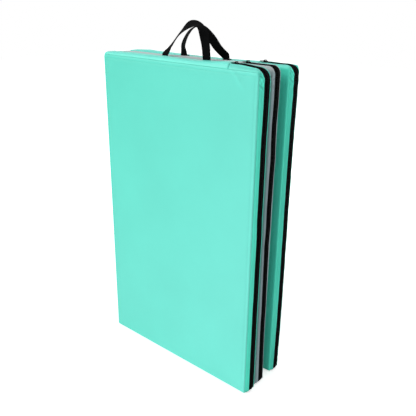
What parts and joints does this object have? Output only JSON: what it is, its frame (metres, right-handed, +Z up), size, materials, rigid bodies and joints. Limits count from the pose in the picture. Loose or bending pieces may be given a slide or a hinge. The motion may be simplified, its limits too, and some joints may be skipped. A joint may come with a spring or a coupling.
{
  "type": "folding gymnastics mat",
  "caption": "Folding exercise mat, folded like a Z: foam panels in zipped, boxed vinyl covers, joined by fold strips, with webbing carry handles.",
  "frame": {"origin": "middle of the middle panel's base, on the floor", "axes": "+Z up, +X across the panels towards their zips, +Y from the front panel to the rear panel"},
  "size_m": [0.6217, 0.1956, 1.1168],
  "materials": {
    "mint_vinyl": "satin",
    "grey_vinyl": "satin",
    "white_foam": "matte",
    "black_tape": "matte",
    "black_zip_metal": "satin",
    "black_webbing": "matte"
  },
  "bodies": {
    "middle_panel": {"middle_foam_core": "white_foam", "middle_face_fore": "grey_vinyl", "middle_face_aft": "grey_vinyl", "middle_plain_boxing": "grey_vinyl", "middle_zip_wall_fore": "grey_vinyl", "middle_zip_wall_aft": "grey_vinyl", "middle_zip_tape_fore": "black_tape", "middle_zip_tape_aft": "black_tape", "middle_zip_coil": "black_tape", "right_fold_leaf_aft": "grey_vinyl", "left_fold_leaf_fore": "grey_vinyl"},
    "front_panel": {"front_foam_core": "white_foam", "front_face_fore": "mint_vinyl", "front_face_aft": "mint_vinyl", "front_plain_boxing": "mint_vinyl", "front_zip_wall_fore": "mint_vinyl", "front_zip_wall_aft": "mint_vinyl", "front_zip_tape_fore": "black_tape", "front_zip_tape_aft": "black_tape", "front_zip_coil": "black_tape", "front_handle_end_left": "black_webbing", "front_handle_end_right": "black_webbing", "right_fold_leaf_fore": "mint_vinyl"},
    "rear_panel": {"rear_foam_core": "white_foam", "rear_face_fore": "mint_vinyl", "rear_face_aft": "mint_vinyl", "rear_plain_boxing": "mint_vinyl", "rear_zip_wall_fore": "mint_vinyl", "rear_zip_wall_aft": "mint_vinyl", "rear_zip_tape_fore": "black_tape", "rear_zip_tape_aft": "black_tape", "rear_zip_coil": "black_tape", "rear_handle_end_left": "black_webbing", "rear_handle_end_right": "black_webbing", "left_fold_leaf_aft": "mint_vinyl"},
    "front_handle": {"front_handle_loop": "black_webbing"},
    "rear_handle": {"rear_handle_loop": "black_webbing"},
    "front_slider": {"front_zip_slider": "black_zip_metal"},
    "middle_slider": {"middle_zip_slider": "black_zip_metal"},
    "rear_slider": {"rear_zip_slider": "black_zip_metal"},
    "front_pull": {"front_zip_pull": "black_zip_metal"},
    "middle_pull": {"middle_zip_pull": "black_zip_metal"},
    "rear_pull": {"rear_zip_pull": "black_zip_metal"}
  },
  "joints": [
    {"name": "front_fold", "type": "hinge", "parent": "middle_panel", "child": "front_panel", "pos_m": [0.3086, -0.0255, 0], "axis": [0, 0, 1], "range_deg": [0, 180]},
    {"name": "rear_fold", "type": "hinge", "parent": "middle_panel", "child": "rear_panel", "pos_m": [-0.3086, 0.0255, 0], "axis": [0, 0, 1], "range_deg": [-4, 176]},
    {"name": "front_handle_fold", "type": "hinge", "parent": "front_panel", "child": "front_handle", "pos_m": [0, -0.03105, 1.0173], "axis": [1, 0, 0], "range_deg": [0, 85]},
    {"name": "rear_handle_fold", "type": "hinge", "parent": "rear_panel", "child": "rear_handle", "pos_m": [-0.00114, 0.05256, 1.0173], "axis": [0.9976, 0.0698, 0], "range_deg": [-80, 0]},
    {"name": "front_zip_slide", "type": "slide", "parent": "front_panel", "child": "front_slider", "axis": [1, 0, 0], "range_m": [0, 0.055], "deforming": ["front_zip_coil", "front_zip_tape_fore", "front_zip_tape_aft"]},
    {"name": "middle_zip_slide", "type": "slide", "parent": "middle_panel", "child": "middle_slider", "axis": [1, 0, 0], "range_m": [0, 0.055], "deforming": ["middle_zip_coil", "middle_zip_tape_fore", "middle_zip_tape_aft"]},
    {"name": "rear_zip_slide", "type": "slide", "parent": "rear_panel", "child": "rear_slider", "axis": [0.9976, 0.0698, 0], "range_m": [0, 0.055], "deforming": ["rear_zip_coil", "rear_zip_tape_fore", "rear_zip_tape_aft"]},
    {"name": "front_pull_turn", "type": "hinge", "parent": "front_slider", "child": "front_pull", "pos_m": [0.21, -0.051, 1.02034], "axis": [0, 1, 0], "range_deg": [0, 180]},
    {"name": "middle_pull_turn", "type": "hinge", "parent": "middle_slider", "child": "middle_pull", "pos_m": [0.21, 0, 1.01884], "axis": [0, 1, 0], "range_deg": [0, 180]},
    {"name": "rear_pull_turn", "type": "hinge", "parent": "rear_slider", "child": "rear_pull", "pos_m": [0.20696, 0.08711, 1.01384], "axis": [-0.0698, 0.9976, 0], "range_deg": [0, 180]}
  ]
}
